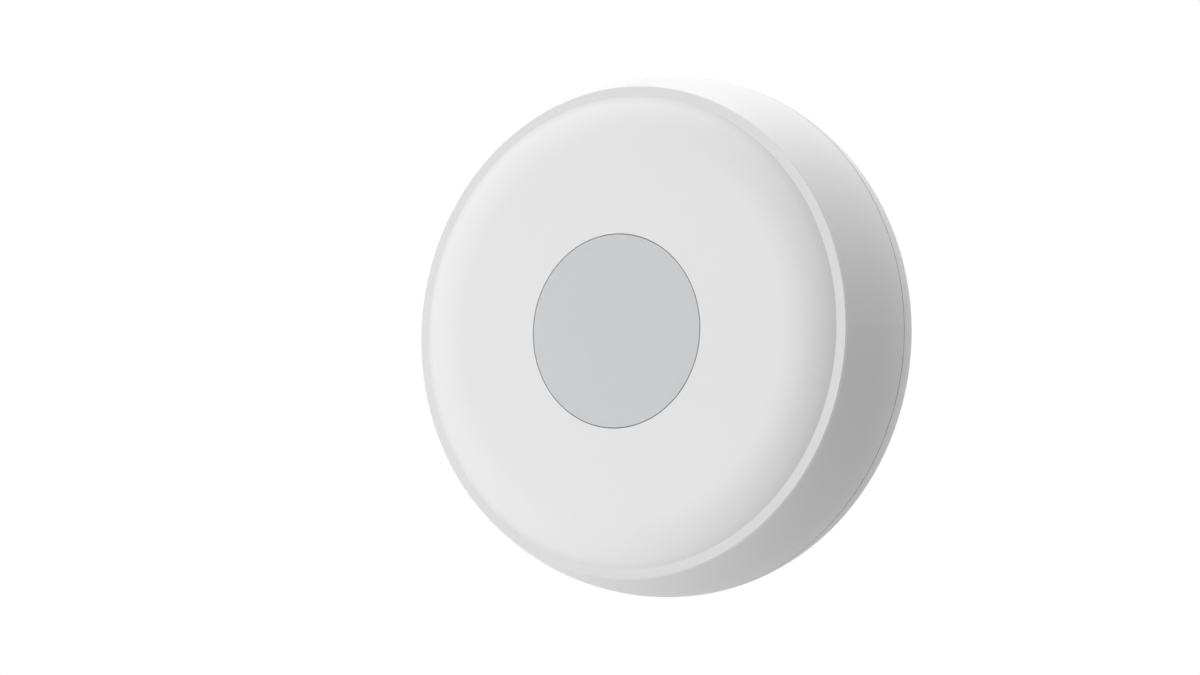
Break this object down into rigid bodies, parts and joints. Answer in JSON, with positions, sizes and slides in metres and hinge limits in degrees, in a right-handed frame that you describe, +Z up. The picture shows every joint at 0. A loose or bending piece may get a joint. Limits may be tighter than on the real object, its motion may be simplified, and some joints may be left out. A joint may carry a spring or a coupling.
{
  "type": "smart button",
  "caption": "Round wall-mounted wireless push button with a domed face, a flush press key and a twist-off wall plate with a foam pad.",
  "frame": {"origin": "centre of the foam pad's back face, where the part meets the wall", "axes": "+Y into the wall, -Y out of the front face, +Z up the wall, +X to the right seen from the front"},
  "size_m": [0.045, 0.0113, 0.045],
  "materials": {
    "white_plastic": "fine moulded satin, white",
    "grey_plastic": "fine moulded satin, light grey",
    "foam": "closed-cell acrylic foam, matte grey",
    "board": "solder resist, green, half gloss",
    "screw_steel": "zinc-plated",
    "black_plastic": "moulded black",
    "contact_brass": "sprung strip, bright",
    "cell_steel": "nickel-plated, satin",
    "gasket_plastic": "moulded grommet",
    "tinned_steel": "tinned, bright",
    "plunger_plastic": "moulded ivory",
    "chip_resin": "moulded epoxy, black",
    "ceramic": "fired ceramic, cream",
    "lamp_resin": "clear to yellow resin",
    "capacitor_ceramic": "fired ceramic, brown",
    "ferrite": "pressed ferrite, dark grey",
    "capacitor_resin": "moulded epoxy, ochre"
  },
  "bodies": {
    "plate": {"wall_plate": "white_plastic", "adhesive_pad": "foam"},
    "housing": {"front_shell": "white_plastic", "circuit_board": "board", "board_screws": "screw_steel", "battery_holder": "black_plastic", "positive_contact": "contact_brass", "negative_contact": "contact_brass", "cell_can": "cell_steel", "cell_gasket": "gasket_plastic", "cell_cap": "cell_steel", "switch_body": "black_plastic", "switch_terminals": "tinned_steel", "switch_dome": "tinned_steel", "switch_cover": "tinned_steel", "microcontroller": "chip_resin", "crystal": "tinned_steel", "antenna": "ceramic", "status_led": "lamp_resin", "capacitors": "capacitor_ceramic", "resistors": "chip_resin", "inductor": "ferrite", "reservoir_capacitor": "capacitor_resin"},
    "key": {"key_cap": "grey_plastic"},
    "plunger": {"switch_plunger": "plunger_plastic"}
  },
  "joints": [
    {"name": "bayonet_turn", "type": "hinge", "parent": "plate", "child": "housing", "pos_m": [0, 0, 0], "axis": [0, -1, 0], "range_deg": [0, 20]},
    {"name": "key_press", "type": "slide", "parent": "housing", "child": "key", "axis": [0, 1, 0], "range_m": [0, 0.00035], "stiffness_N_per_m": 2000, "springref_m": -0.0004, "deforming": ["switch_dome"]},
    {"name": "plunger_press", "type": "slide", "parent": "housing", "child": "plunger", "axis": [0, 1, 0], "range_m": [0, 0.00035]}
  ],
  "couplings": [
    {"joint": "plunger_press", "follows": "key_press", "ratio": 1}
  ]
}
